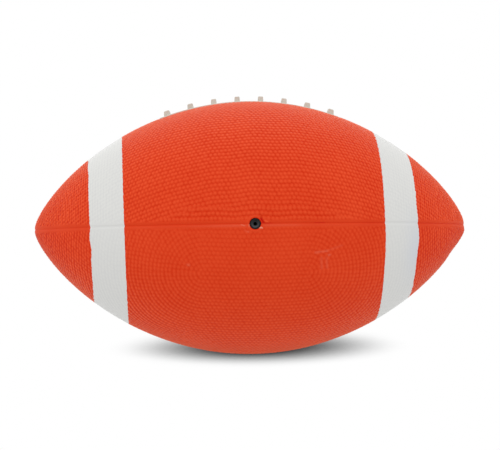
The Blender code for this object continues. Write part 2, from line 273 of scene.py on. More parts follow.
def grain(sizes, table, quarter, walk, across):
    """The pebbles of one panel: straight rows beside its side seam, then bent rows.

    On the upper panels these are arcs about a point far below the seam, and the straight rows are wider set.
    On the lower ones they are rounds about a run that lies a little way into the panel. Towards the tips
    straight rows give way to bent ones, the pattern is drawn finer, the stagger and the ridges are lost, and
    the pebbles are longer, slimmer, upright and looser. All rows sway a little.
    """
    upper = quarter in UPPER
    first_row = (3.3 if upper else 4.8) * MM
    straight_rows = 3 if upper else 1
    straight_reach, straight_fade = 30 * MM, 45 * MM
    stagger_reach, stagger_fade = 80 * MM, 25 * MM
    widening, fineness, narrowing = (1.12, 0.15, 0.35) if upper else (1.0, 0.1, 0.0)
    lengthening, slimming = (1.3 if upper else 0.3), 0.4
    ridge = 0.22 if upper else 0.15
    lean, lean_reach = math.radians(-28 if upper else 0), 50 * MM
    arc_centre = (12 * MM, -270 * MM)
    round_depth, round_half_run = 31 * MM, 32 * MM
    sway, sway_step = 0.4 * MM, 13 * MM
    pitch = sizes.grain_pitch
    reach = table[0][-1]
    limit = first_row + (straight_rows - 0.5) * widening * pitch
    tipward = (walk / reach) ** 2

    def finer(walk):
        return walk * (1 + fineness * (walk / reach) ** 2)

    def radius_at(fine_walk):
        return np.maximum(outline(sizes, np.interp(fine_walk, finer(table[0]), table[1]))[0], 1 * MM)

    def beyond(fine_walk, across):
        here_limit = limit * (1 - smooth((np.abs(fine_walk) - straight_reach) / straight_fade))
        return smooth((across - here_limit) / pitch + 0.5)

    def before(fine_walk, across):
        return 1 - beyond(fine_walk, across)

    half_width = 0.55 * sizes.grain_spacing * (1 - slimming * tipward)
    half_length = 0.62 * pitch * (1 + lengthening * tipward)
    bent = Rows(
        middle=arc_centre if upper else (0.0, round_depth * (1 - 0.6 * tipward)),
        half_run=0.0 if upper else round_half_run,
        pitch=pitch,
        spacing=sizes.grain_spacing,
        stagger=0.5 * (1 - smooth((np.abs(walk) - stagger_reach) / stagger_fade)),
        looseness=0.15 + 0.3 * tipward,
        half_size=(half_width, half_length),
        lean=lean * np.tanh(walk / lean_reach) * (1 - tipward),
        ridge=ridge * (1 - tipward),
        kept=beyond,
    )
    start = (0.0, first_row)
    straight = bent._replace(middle=start, half_run=2 * reach, pitch=widening * pitch, kept=before)
    across = across * (1 + narrowing * tipward) + sway * wander(walk / sway_step, quarter)
    return np.maximum(*[pebble_rows(radius_at, finer(walk), across, rows) for rows in (straight, bent)])


def round_the_hole(walk, across, radius):
    """Draws the grid's edge at the valve seam round a half circle.

    Points of the seam up to a quarter of the rim away move to the rim, and those beyond close up behind
    them. The shift dies out over a distance from the seam.
    """
    reach = 14 * MM
    turn = np.clip(walk / radius, -QUARTER, QUARTER)
    beyond = np.abs(walk) - radius * QUARTER
    slack = radius * (QUARTER - 1) * (1 - smooth(beyond / reach))
    shift = np.where(beyond < 0, radius * np.sin(turn) - walk, -np.sign(walk) * slack)
    fade = 1 - smooth(across / reach)
    return walk + fade * shift, across + fade * radius * np.cos(turn)


def ring_edges(sizes, quarter, side, angle):
    """Where the inner and the outer edge of a painted ring lie along the ball, at each angle.

    As its mask was set, each edge stands a little to the right, leans with the cosine of the angle, bows to
    the left at the laces and the belly, and has bulges just below the valve seam. Each panel's stretch is a
    little off the next, and the pebbles make the paint's edge ragged.
    """
    jog, ragged = 0.1 * MM, 0.1 * MM
    # Shift, lean and bow of each edge in mm, and its bulges: mm, degrees from the lace seam, and of spread
    masks = {
        -1: [(1.0, -1.6, 3.5, []), (1.3, -1.5, 3.9, [(-0.55, 97, 4), (0.4, 106, 4)])],
        1: [(0.5, -0.1, 0.1, [(0.5, 100, 12)]), (0.25, -0.1, 0.1, [(1.3, 100, 12)])],
    }
    outer = sizes.ball_length / 2 - sizes.ring_tip_distance
    edges = []
    for number, nominal in enumerate((outer - sizes.ring_width, outer)):
        seed = 10 * quarter + 3 * number + side
        shift, lean, bow, bulges = masks[side][number]
        set_off = shift + lean * np.cos(angle) - bow * (1 - np.abs(np.sin(angle)))
        for bulge, middle, spread in bulges:
            set_off = set_off + bulge * bell(np.degrees(angle) - middle, spread)
        around = angle * outline(sizes, nominal)[0] / (sizes.grain_pitch / 2)
        jogged = jog * (2 * chance(seed, 5) - 1)
        edges.append(side * nominal + set_off * MM + jogged + ragged * wander(around, seed))
    return edges


def panel_lines(sizes, table):
    """A panel's rows as distances over the skin, and its columns as angles from its side seam.

    Rows step evenly from tip to tip. Columns keep fixed distances from both seams, where the groove is, and
    divide the rest evenly.
    """
    groove_portions = np.array([0.0, 0.04, 0.10, 0.18, 0.26, 0.35, 0.45, 0.60])
    middle_columns = 160
    reach = table[0][-1]
    count = int(reach / sizes.mesh_step)
    rows = np.concatenate([[-reach], np.arange(-count, count + 1) * sizes.mesh_step, [reach]])
    width = outline(sizes, np.interp(rows, *table))[0][:, None] * QUARTER
    edge = sizes.seam_width * groove_portions
    edge = edge * np.minimum(1, 0.3 * width / edge[-1])
    between = np.linspace(0, 1, middle_columns + 2)[1:-1]
    middle = edge[:, -1:] + (width - 2 * edge[:, -1:]) * between
    return rows, np.hstack([edge, middle, (width - edge)[:, ::-1]]) / width * QUARTER


def drawn_to_rings(sizes, table, quarter, rows, side_turn):
    """The rows as a grid, drawn onto the rings' edges where these lie, and each ring's first and last row.

    The shift of such a row dies out evenly over the rows up to the next one.
    """
    walked, alongs = table
    reach = walked[-1]
    angle = panel_angle(quarter, side_turn)
    walk = np.repeat(rows[:, None], side_turn.shape[1], axis=1)
    ring_rows = {}
    shifts = {}
    for side in RING_SIDES.values():
        picked = []
        for edge in ring_edges(sizes, quarter, side, angle[len(rows) // 2]):
            place = np.interp(edge, alongs, walked)
            row = int(np.argmin(np.abs(rows - place.mean())))
            shifts[rows[row]] = place - rows[row]
            picked.append(row)
        ring_rows[side] = (min(picked), max(picked))
    knots = np.sort([-reach, 0.0, reach] + list(shifts))
    for knot, shift in shifts.items():
        walk = walk + np.interp(rows, knots, (knots == knot).astype(float))[:, None] * shift
    return walk, ring_rows


def panel_angle(quarter, side_turn):
    """The angle round the ball from the lace seam, for an angle from the panel's side seam."""
    if quarter % 2 == 0:
        return (quarter + 1) * QUARTER - side_turn
    return quarter * QUARTER + side_turn


def near_line(walk, across, start, run, width):
    """1 on a short straight line, given in mm, and less to its sides: a bell of the distance from it."""
    start, run = np.array(start) * MM, np.array(run) * MM
    portion = np.clip(((walk - start[0]) * run[0] + (across - start[1]) * run[1]) / (run @ run), 0, 1)
    way = np.hypot(walk - start[0] - portion * run[0], across - start[1] - portion * run[1])
    return bell(way, width * MM)


def front_marks(quarter, walk, across):
    """Marks on the front panels: their height, their painted shade, and how far they are pale.

    The upper panel has a crease from the valve's rim to the seam, with a wrinkle beside it, and the seam
    gapes by the valve and further on. The crease and the gaps get painted shade, and the wrinkle a painted
    highlight. The lower one has scraps of flash by the valve, and scuffs.
    """
    if quarter == PANELS["front_upper"]:
        crease = near_line(walk, across, (3.5, 3.0), (1.3, -2.2), 0.55)
        wrinkle = near_line(walk, across, (5.9, 1.5), (1.4, -0.4), 0.45)
        near_gap = near_line(walk, across, (3.8, 0.1), (6.0, -0.1), 0.4)
        far_gap = near_line(walk, across, (36.5, 0.0), (6.0, 0.0), 0.4)
        # Painted shade in the crease and the gaps, and a painted highlight on the wrinkle.
        painted_shade = 2.0 * crease - 1.6 * wrinkle + 0.7 * near_gap + 0.8 * far_gap
        return (0.4 * wrinkle - 0.7 * crease) * MM, painted_shade, 0.0 * walk
    # Start and run of each mark in mm, its half width, and how pale it is
    marks = [
        ((2.8, 2.55), (1.2, -0.2), 0.3, 0.8),
        ((-3.8, 0.3), (0.1, 1.2), 0.3, 0.25),
        ((-8.3, 0.6), (2.1, 0.7), 0.3, 0.2),
        ((-6.5, 4.3), (2.7, 0.5), 0.3, 0.12),
        ((36.6, 17.9), (7.2, -0.9), 0.6, 0.09),
        ((43.8, 17.0), (10.0, -3.4), 0.6, 0.04),
        ((45.1, 19.6), (0.6, -0.2), 0.6, 0.13),
        ((40.4, 21.5), (0.3, 6.5), 0.8, 0.05),
        ((43.8, 21.5), (0.3, 6.0), 0.8, 0.05),
        ((-41.2, 24.5), (0.8, 0.1), 0.7, 0.08),
    ]
    pale = sum(level * near_line(walk, across, start, run, width) for start, run, width, level in marks)
    return 0.15 * MM * pale, 0.0 * walk, pale


def lower_lip(walk, across, tipward, seed):
    """The lower panels' lip at the side seam: its height, and how far it is flash, most in the middle."""
    height, from_seam, spread = 0.05 * MM, 1.1 * MM, 0.7 * MM
    ripple, ripple_step = 0.4, 6 * MM
    lip = bell(across - from_seam, spread)
    thickness = 0.012 * (1 - tipward) + 0.045 * bell(walk, 28 * MM)
    return height * lip, lip * thickness * (1 + ripple * wander(walk / ripple_step, seed))


def blunt_tip(sizes, along, side_turn):
    """A height that makes the right tip blunt below its seam, and a little hollow behind that."""
    to_tip = (sizes.ball_length / 2 - along) / MM
    swell = 1.05 * np.exp(-to_tip / 4) * smooth(to_tip / 1.5)
    hollow = 0.55 * bell(to_tip - 9, 4)
    return (swell - hollow) * MM * smooth(side_turn)


Cover = namedtuple("Cover", "along angle rise relief shade flash ring_rows")


def cover_grid(sizes, quarter):
    """One panel's surface on a grid, with what the panel and its paint are made of.

    Along and angle place a point on the bare form. Rise is the moulded form's height over it, relief that of
    the grain, and shade how far a point is up a pebble, which sets its painted highlight and shade, less the
    painted shade of creases, gaps, the valve's rim and the seam. Flash is how far it is thin pale rubber,
    together with the painted highlight on the pebbles' tops.
    """
    table = meridian(sizes)
    rows, side_turn = panel_lines(sizes, table)
    walk, ring_rows = drawn_to_rings(sizes, table, quarter, rows, side_turn)

    def radius_at(walk):
        return outline(sizes, np.interp(walk, *table))[0]

    across = side_turn * radius_at(walk)
    hole = sizes.valve_diameter / 2 + 0.1 * MM
    upper = quarter in UPPER
    has_valve = quarter in FRONT
    if has_valve:
        walk, across = round_the_hole(walk, across, hole)
        side_turn = across / radius_at(walk)
    along = np.interp(walk, *table)
    other_way = (QUARTER - side_turn) * radius_at(walk)
    from_seam = np.minimum(across, other_way)
    crosswise = side_turn / QUARTER
    tipward = np.abs(2 * along / sizes.ball_length) ** 3

    # The groove falls from its lip to a level floor, and is shallower towards the tips.
    depth = sizes.seam_depth + (sizes.tip_seam_depth - sizes.seam_depth) * tipward
    groove = depth * (1 - smooth((from_seam / (sizes.seam_width / 2) - 0.2) / 0.8))
    grained = smooth((from_seam - 1.6 * MM) / (1.2 * MM))
    rise, flash, painted_shade = np.zeros((3, *walk.shape))
    if not upper:
        rise, flash = lower_lip(walk, across, tipward, quarter)
        rise = rise + blunt_tip(sizes, along, side_turn)
    if has_valve:
        # The rim is a low lip, with a painted highlight outside it and painted shade against the valve.
        from_rim = np.hypot(walk, across) - hole
        clear = smooth((from_rim - 1.0 * MM) / (1.5 * MM))
        lip = bell(from_rim - 0.9 * MM, 0.6 * MM)
        mark, painted_shade, pale = front_marks(quarter, walk, across)
        painted_shade = painted_shade + 0.9 * bell(from_rim, 0.45 * MM) - 0.35 * lip
        rise = rise + mark + 0.35 * MM * lip
        groove = groove * smooth(from_rim / (3 * MM))
        grained = grained * clear
        flash = np.maximum(flash * clear, pale)
    if upper:
        # The lace ladder lies in a bed, which is a little deeper than its base.
        bed_depth = sizes.lace_thickness - sizes.lace_proud + 0.3 * MM
        bed_edge = 1.5 * MM
        inside = np.minimum(lace_end(sizes) - np.abs(along), sizes.lace_width / 2 - other_way)
        rise = rise - smooth(inside / bed_edge) * bed_depth
        grained = grained * smooth(-inside / bed_edge)
        # The side seam gets a fine line of painted shade, fainter at the left tip and darker at the right
        # one.
        seam_shade = 0.8 + np.where(along < 0, -0.5, 0.7) * tipward
        painted_shade = painted_shade + seam_shade * bell(across, 0.35 * MM)

    level = grain(sizes, table, quarter, walk, across) - 0.5
    # Towards the laces and the belly the pebbles' tops get a pale painted highlight. On the upper panels it
    # is weaker at the tips, and on the lower ones it is strongest just past the rings.
    most_highlight = 0.34 * (1 - 0.7 * tipward) if upper else 0.05 + tipward * (1 - tipward)
    pebble_highlight = most_highlight * crosswise**3 * smooth(level / 0.45)
    flash = np.maximum(flash, pebble_highlight * grained)
    # Towards these seams the pebbles are higher, and paint all but fills the valleys between them.
    strength = (1.45 if upper else 0.85) + 1.5 * crosswise**3
    left_by_paint = 0.2
    relief = strength * (1 - 0.3 * tipward) * sizes.grain_height * grained * level
    for first, last in ring_rows.values():
        relief[first + 1 : last] *= left_by_paint
    # Tops and valleys differ more in colour towards the seams and the tips, up to a limit: a painted
    # highlight on the tops and painted shade in the valleys.
    tint = strength * (1 + 2.2 * tipward + 0.8 * crosswise**2)
    most_tint = 0.75 + 0.45 * tipward
    shade = 0.5 + np.clip(tint * grained * level, -most_tint, most_tint) - painted_shade
    fields = [along, panel_angle(quarter, side_turn), rise - groove, relief, shade, flash]
    if quarter % 2 == 0:
        # These panels' columns run against the angle, and are turned round to keep the faces outwards.
        fields = [field[:, ::-1] for field in fields]
    return Cover(*fields, ring_rows)


def lace_end(sizes):
    """Half the length of the lace ladder's base strip."""
    return sizes.rung_pitch * (sizes.rung_count - 1) / 2 + sizes.rung_width / 2 + sizes.lace_margin


def lace_point(sizes, along, across, rise):
    """A point over the lace seam: distances along and across it, and a height.

    The height leans by a share of the outline's slope. The ladder is set on a little skew.
    """
    skew = 0.03
    radius, slope = outline(sizes, along)
    lean = sizes.rung_lean * slope
    upright = 1 / np.sqrt(1 + lean * lean)
    reach = radius + upright * rise
    angle = across / radius
    along = along - lean * upright * rise - skew * across
    return to_world(sizes, np.stack([along, -reach * np.sin(angle), reach * np.cos(angle)], axis=-1))


def ridge_side(half_width, height, steps):
    """One side of a moulded ridge, foot to middle: distances from the middle, and shares of its height.

    A quarter round fillet, a wall with some draft, a quarter round edge, and a level top in some steps.
    """
    fillet, draft, edge = 0.3 * MM, 0.15 * MM, 0.6 * MM
    turn = np.linspace(0, QUARTER, 7)
    top = np.linspace(half_width - edge, 0, steps)[1:]
    foot = half_width + draft + fillet * (1 - np.sin(turn))
    distance = np.concatenate([foot, half_width - edge * (1 - np.cos(turn)), top])
    shoulder = height - edge * (1 - np.sin(turn))
    rise = np.concatenate([fillet * (1 - np.cos(turn)), shoulder, top * 0 + height])
    return distance, rise / height


def mirrored(half, sign):
    """Numbers from one edge to the middle, times a sign, and on to the other edge."""
    return np.concatenate([sign * half, half[-2::-1]])


def table_faces(table):
    """The corners of each cell of a table of point numbers. It faces out if columns turn from +Z to -Y."""
    corners = [table[:-1, :-1], table[:-1, 1:], table[1:, 1:], table[1:, :-1]]
    return np.stack(corners, axis=-1).reshape(-1, 4)


def numbered(points, first):
    """Point numbers for a grid of points, counted from first."""
    return first + np.arange(points.shape[0] * points.shape[1]).reshape(points.shape[:2])


def make_piece(name, points, faces, material, attributes):
    """A smooth mesh object of a list of points and four-cornered faces, with an attribute for each point.

    A face with two corners on one point becomes a triangle.
    """
    sharp_angle = math.radians(55)
    at_start = faces[:, 0] == faces[:, 1]
    at_end = faces[:, 2] == faces[:, 3]
    triangles = np.concatenate([faces[at_start][:, 1:], faces[at_end][:, :3]])
    quads = faces[~(at_start | at_end)]
    corners = np.concatenate([quads.ravel(), triangles.ravel()])
    starts = np.concatenate([4 * np.arange(len(quads)), 4 * len(quads) + 3 * np.arange(len(triangles))])
    mesh = bpy.data.meshes.new(name)
    mesh.vertices.add(len(points))
    mesh.vertices.foreach_set("co", points.astype(np.float32).ravel())
    mesh.loops.add(len(corners))
    mesh.loops.foreach_set("vertex_index", corners.astype(np.int32))
    mesh.polygons.add(len(starts))
    mesh.polygons.foreach_set("loop_start", starts.astype(np.int32))
    mesh.update(calc_edges=True)
    if mesh.validate():
        raise RuntimeError(f"{name} has faces that Blender can't keep")
    for key, values in attributes.items():
        attribute = mesh.attributes.new(key, "FLOAT", "POINT")
        attribute.data.foreach_set("value", values.astype(np.float32).ravel())
    mesh.shade_smooth()
    mesh.set_sharp_from_angle(angle=sharp_angle)
    mesh.materials.append(material)
    piece = bpy.data.objects.new(name, mesh)
    bpy.context.scene.collection.objects.link(piece)
    return piece


def make_slab(name, top, bottom, material, attributes):
    """A block between two grids of points: faces round each pair of rows, then the two ends."""
    top_table = numbered(top, 0)
    bottom_table = numbered(bottom, top_table.size)
    rounds = np.hstack([top_table, bottom_table[:, ::-1], top_table[:, :1]])
    first_end = np.stack([bottom_table[0], top_table[0]])
    last_end = np.stack([top_table[-1], bottom_table[-1]])
    faces = np.concatenate([table_faces(table) for table in (rounds, first_end, last_end)])
    points = np.concatenate([top.reshape(-1, 3), bottom.reshape(-1, 3)])
    return make_piece(name, points, faces, material, attributes)


def stand_for(piece, body, node):
    """Lets a piece ride on a body in place of a solid, which is hidden."""
    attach(piece, body)
    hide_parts(node)


def add_node(tree, kind, inputs, **settings):
    """Adds a node with its settings. Inputs, by name or number, take a value or another node's socket."""
    made = tree.nodes.new(kind)
    for key, value in settings.items():
        setattr(made, key, value)
    for key, value in inputs.items():
        if isinstance(value, bpy.types.NodeSocket):
            tree.links.new(value, made.inputs[key])
        else:
            made.inputs[key].default_value = value
    return made


def new_material(name, settings):
    """A material with these settings on its shader, then its node tree, shader and Object coordinates."""
    material = bpy.data.materials.new(name)
    material.use_nodes = True
    tree = material.node_tree
    shader = tree.nodes["Principled BSDF"]
    for key, value in settings.items():
        shader.inputs[key].default_value = value
    place = add_node(tree, "ShaderNodeTexCoord", {}).outputs["Object"]
    return material, tree, shader, place


def add_tooth(tree, shader, place, size, strength, depth):
    """Gives a shader a fine tooth: a bump of noise of this size and depth."""
    grit = add_node(tree, "ShaderNodeTexNoise", {"Vector": place, "Scale": 1 / size, "Detail": 3.0})
    relief = {"Height": grit.outputs["Fac"], "Strength": strength, "Distance": depth}
    bump = add_node(tree, "ShaderNodeBump", relief)
    tree.links.new(bump.outputs["Normal"], shader.inputs["Normal"])


def pebbled_material(name, top, valley, flash, settings, mottle_size):
    """Top colour on the pebbles, valley colour between them, cloudy patches, flash and a fine tooth.

    The top colour is a painted highlight and the valley colour painted shade. The blend runs on past both
    colours, so a crease's painted shade can be darker than the valleys.
    """
    material, tree, shader, place = new_material(name, settings)
    pebbles = add_node(tree, "ShaderNodeAttribute", {}, attribute_name="grain").outputs["Fac"]
    squeezed = add_node(tree, "ShaderNodeAttribute", {}, attribute_name="flash").outputs["Fac"]
    noise = {"Vector": place, "Scale": 1 / mottle_size, "Detail": 1.0}
    clouds = add_node(tree, "ShaderNodeTexNoise", noise).outputs["Fac"]
    level = add_node(tree, "ShaderNodeMath", {0: clouds, 1: 0.5, 2: pebbles}, operation="MULTIPLY_ADD")
    span = {"Value": level.outputs["Value"], "From Min": 0.1, "From Max": 1.3}
    portion = add_node(tree, "ShaderNodeMapRange", span, clamp=False)
    colours = {0: portion.outputs["Result"], 6: (*valley, 1.0), 7: (*top, 1.0)}
    paint = add_node(tree, "ShaderNodeMix", colours, data_type="RGBA", clamp_factor=False)
    colours = {0: squeezed, 6: paint.outputs[2], 7: (*flash, 1.0)}
    edged = add_node(tree, "ShaderNodeMix", colours, data_type="RGBA")
    tree.links.new(edged.outputs[2], shader.inputs["Base Color"])
    add_tooth(tree, shader, place, 0.5 * MM, 0.25, 0.05 * MM)
    return material


def moulded_orange_rubber(colours):
    """Filled rubber, moulded with a pebble grain: saturated, semi-matt, paler where it turns away."""
    settings = {
        "Roughness": 0.55,
        "IOR": 1.45,
        "Specular IOR Level": 0.12,
        "Sheen Weight": 0.075,
        "Sheen Roughness": 0.4,
        "Sheen Tint": (0.95, 1.0, 0.4, 1.0),
    }
    blend = (colours.rubber_lit_top, colours.rubber_shaded_valley, colours.rubber_flash_and_highlight)
    return pebbled_material("moulded_orange_rubber", *blend, settings, 25 * MM)


def sprayed_white_paint(colours):
    """Flexible white paint that all but fills the grain: even and semi-matt, with painted shade greyer
    between the pebbles.
    """
    settings = {"Roughness": 0.5, "IOR": 1.5, "Specular IOR Level": 0.3}
    blend = (colours.ring_lit_top, colours.ring_shaded_valley, colours.ring_cool)
    return pebbled_material("sprayed_white_paint", *blend, settings, 18 * MM)


def clouded_material(name, clean, soiled, settings, cloud_size, tooth):
    """A plain surface that goes from clean to soiled colour in soft clouds, with a fine tooth."""
    material, tree, shader, place = new_material(name, settings)
    noise = {"Vector": place, "Scale": 1 / cloud_size, "Detail": 5.0}
    clouds = add_node(tree, "ShaderNodeTexNoise", noise).outputs["Fac"]
    portion = add_node(tree, "ShaderNodeMapRange", {"Value": clouds, "From Min": 0.35, "From Max": 0.7})
    colours = {0: portion.outputs["Result"], 6: (*clean, 1.0), 7: (*soiled, 1.0)}
    blend = add_node(tree, "ShaderNodeMix", colours, data_type="RGBA")
    tree.links.new(blend.outputs[2], shader.inputs["Base Color"])
    add_tooth(tree, shader, place, tooth, 0.3, 0.06 * MM)
    return material


def background_rays(tree):
    """1 for rays that show the background: the camera's, and those that gloss and glass send on."""
    rays = add_node(tree, "ShaderNodeLightPath", {}).outputs
    shown = rays["Is Camera Ray"]
    for kind in ("Is Glossy Ray", "Is Transmission Ray"):
        either = add_node(tree, "ShaderNodeMath", {0: shown, 1: rays[kind]}, operation="MAXIMUM")
        shown = either.outputs[0]
    return shown


class FOOTBALL_OT_cover(bpy.types.Operator):
    """Makes the four pebbled panels."""

    bl_idname = "football.cover"
    bl_label = "Cover panels"

    def execute(self, context):
        sizes = context.scene.football_sizes
        rubber = moulded_orange_rubber(context.scene.football_colours)
        ring_sink, inner_columns = 0.15 * MM, 7
        for place, quarter in PANELS.items():
            cover = cover_grid(sizes, quarter)
            rise = cover.rise + cover.relief
            for first, last in cover.ring_rows.values():
                rise[first + 1 : last] -= ring_sink
            outer = skin(sizes, cover.along, cover.angle, rise)
            # The floor presses the underside flat.
            outer[..., 2] = np.maximum(outer[..., 2], 0.0)
            picks = np.linspace(0, cover.along.shape[1] - 1, inner_columns).round().astype(int)
            depth = np.full_like(cover.along[:, picks], -sizes.cover_thickness)
            inner = skin(sizes, cover.along[:, picks], cover.angle[:, picks], depth)
            outer_table = numbered(outer, 0)
            inner_table = numbered(inner, outer_table.size)
            # At each tip all columns share one point.
            for table in (outer_table, inner_table):
                table[[0, -1]] = table[[0, -1], :1]
            faces = table_faces(np.hstack([outer_table, inner_table[:, ::-1], outer_table[:, :1]]))
            points = np.concatenate([outer.reshape(-1, 3), inner.reshape(-1, 3)])
            used, faces = np.unique(faces, return_inverse=True)
            # Flash carries both thin pale rubber and the painted highlight on the pebbles' tops.
            attributes = {
                "grain": np.pad(cover.shade.ravel(), (0, inner_table.size), constant_values=0.5)[used],
                "flash": np.pad(cover.flash.ravel(), (0, inner_table.size))[used],
            }
            name = f"pebbled_panel_{place}"
            panel = make_piece(name, points[used], faces.reshape(-1, 4), rubber, attributes)
            stand_for(panel, "ball", f"cover_panel_{place}")
        return {"FINISHED"}


class FOOTBALL_OT_rings(bpy.types.Operator):
    """Makes the eight stretches of white paint, each a thin coat over its panel's grain."""

    bl_idname = "football.rings"
    bl_label = "Painted rings"

    def execute(self, context):
        sizes = context.scene.football_sizes
        paint = sprayed_white_paint(context.scene.football_colours)
        coat_rise, coat_thickness = 0.05 * MM, 0.15 * MM
        cool_angle, cool_spread, cool_width = 108, 24, 8 * MM
        for place, quarter in PANELS.items():
            cover = cover_grid(sizes, quarter)
            for side_name, side in RING_SIDES.items():
                first, last = cover.ring_rows[side]
                rows = slice(first, last + 1)
                rise = cover.rise[rows] + cover.relief[rows] + coat_rise
                top = skin(sizes, cover.along[rows], cover.angle[rows], rise)
                bottom = skin(sizes, cover.along[rows], cover.angle[rows], rise - coat_thickness)
                # The right ring turns a cooler grey near its outer edge, a little below the valve seam.
                inwards = cover.along[last] - cover.along[rows]
                around = np.degrees(cover.angle[rows]) - cool_angle
                cool_patch = 0.9 * (side > 0) * bell(inwards, cool_width) * bell(around, cool_spread)
                attributes = {
                    "grain": np.tile(cover.shade[rows].ravel(), 2),
                    "flash": np.tile(cool_patch.ravel(), 2),
                }
                coat = make_slab(f"paint_{side_name}_{place}", top, bottom, paint, attributes)
                stand_for(coat, "ball", f"stripe_{side_name}_{place}")
        return {"FINISHED"}


class FOOTBALL_OT_laces(bpy.types.Operator):
    """Makes the moulded lace ladder."""

    bl_idname = "football.laces"
    bl_label = "Lace ladder"

    def execute(self, context):
        sizes = context.scene.football_sizes
        colours = context.scene.football_colours
        # Moulded beige rubber is matt and even, a little soiled in soft clouds.
        settings = {"Roughness": 0.6, "IOR": 1.5, "Specular IOR Level": 0.3}
        finish = (colours.lace, colours.lace_shade, settings, 12 * MM, 1.5 * MM)
        rubber = clouded_material("moulded_beige_rubber", *finish)

        # Along the ball: rungs with flat stretches between them, and round corners at both ends.
        height = sizes.rung_height - sizes.lace_proud
        side, ridge = ridge_side(sizes.rung_width / 2, height, 4)
        flat = np.linspace(side[0], sizes.rung_pitch - side[0], 7)[1:-1]
        offset = np.append(mirrored(side, -1), flat)
        ridge = np.pad(mirrored(ridge, 1), (0, len(flat)))
        centres = sizes.rung_pitch * (np.arange(sizes.rung_count) - (sizes.rung_count - 1) / 2)
        body = (centres[:, None] + offset).ravel()[: -len(flat)]
        body_ridge = np.tile(ridge, sizes.rung_count)[: -len(flat)]
        corner = 0.7 * sizes.lace_margin
        turn = np.linspace(0, QUARTER, 9)
        end = lace_end(sizes) - corner + corner * np.sin(turn)
        narrowing = 1 - corner * (1 - np.cos(turn)) / (sizes.lace_width / 2)
        along = np.concatenate([-end[::-1], body, end])[:, None]
        row_ridge = np.pad(body_ridge, len(end))[:, None]
        row_narrowing = np.concatenate([narrowing[::-1], np.ones(len(body)), narrowing])[:, None]

        # Across it: a rung's two ends, and the base strip's margin with its round edge.
        base_edge = 0.45 * MM
        turn = np.linspace(0, QUARTER, 8)
        side, ridge = ridge_side(sizes.rung_length / 2, height, 14)
        lip = sizes.lace_width / 2 - base_edge + base_edge * np.sin(turn)
        half = np.concatenate([lip[::-1], side])
        half_ridge = np.pad(ridge, (len(lip), 0))
        half_base = np.concatenate([np.cos(turn)[::-1], np.ones(len(side))])
        across = mirrored(half, -1)
        column_ridge = mirrored(half_ridge, 1)
        base_rise = mirrored(half_base, 1) * sizes.lace_proud

        rise = base_rise + height * row_ridge * column_ridge
        along, across = np.broadcast_arrays(along, across * row_narrowing)
        top = lace_point(sizes, along, across, rise)
        underside = np.full_like(along, sizes.lace_proud - sizes.lace_thickness)
        bottom = lace_point(sizes, along, across, underside)
        ladder = make_slab("lace_ladder", top, bottom, rubber, {})
        stand_for(ladder, "ball", "lace_strip")
        return {"FINISHED"}


class FOOTBALL_OT_valve(bpy.types.Operator):
    """Makes the valve's plug, which slides out of its boot."""

    bl_idname = "football.valve"
    bl_label = "Valve"

    def execute(self, context):
        sizes = context.scene.football_sizes
        colours = context.scene.football_colours
        # Moulded black rubber is satin; its dish is painted greyer where light falls on it.
        settings = {"Roughness": 0.5, "IOR": 1.5, "Specular IOR Level": 0.12}
        blend = (colours.valve_painted_light, colours.valve, colours.valve_painted_light)
        rubber = pebbled_material("moulded_black_rubber", *blend, settings, 4 * MM)
        segments = 96
        hole = sizes.needle_hole / 2
        face = sizes.valve_diameter / 2
        stem = sizes.valve_stem_diameter / 2
        nose = sizes.valve_nose_diameter / 2
        shoulder, nose_length, end = -2.8 * MM, 3 * MM, -sizes.valve_length
        mouth, rim, dish_depth = 0.3 * MM, 0.4 * MM, 0.45 * MM
        turn = np.linspace(0, QUARTER, 7)
        dish = np.linspace(0, 1, 13)[1:]
        dish_start, dish_end = hole + mouth, face - 2 * rim
        # Radii and heights of the hole's mouth, the dish, the rim, and the stem and nose
        profile = [
            (hole + mouth * (1 - np.cos(turn)), -dish_depth - mouth * (1 - np.sin(turn))),
            (dish_start + (dish_end - dish_start) * dish, -dish_depth * np.cos(dish * QUARTER) ** 2),
            (face - rim + rim * np.sin(turn), -rim * (1 - np.cos(turn))),
            ([face, stem, stem, nose, hole], [shoulder, shoulder, nose_length + end, end, end]),
        ]
        radius, height = np.hstack(profile)[..., None]
        height = height + sizes.ball_diameter / 2 - sizes.valve_recess
        around = np.linspace(0, 4 * QUARTER, segments, endpoint=False)
        spread = [radius * np.cos(around), -height + 0 * around, radius * np.sin(around)]
        points = to_world(sizes, np.stack(spread, axis=-1))
        table = np.pad(numbered(points, 0), ((0, 1), (0, 1)), mode="wrap")
        # The dish is painted lighter where light falls on it, and more where it looks up, below its middle.
        in_dish = np.zeros_like(radius)
        in_dish[len(turn) : len(turn) + len(dish), 0] = np.sin(2 * QUARTER * dish)
        dish_light = in_dish * (0.45 - 0.55 * np.sin(around))
        plug = make_piece("valve_plug", points.reshape(-1, 3), table_faces(table), rubber, {"grain": dish_light})
        stand_for(plug, "core", "valve_core")
        return {"FINISHED"}


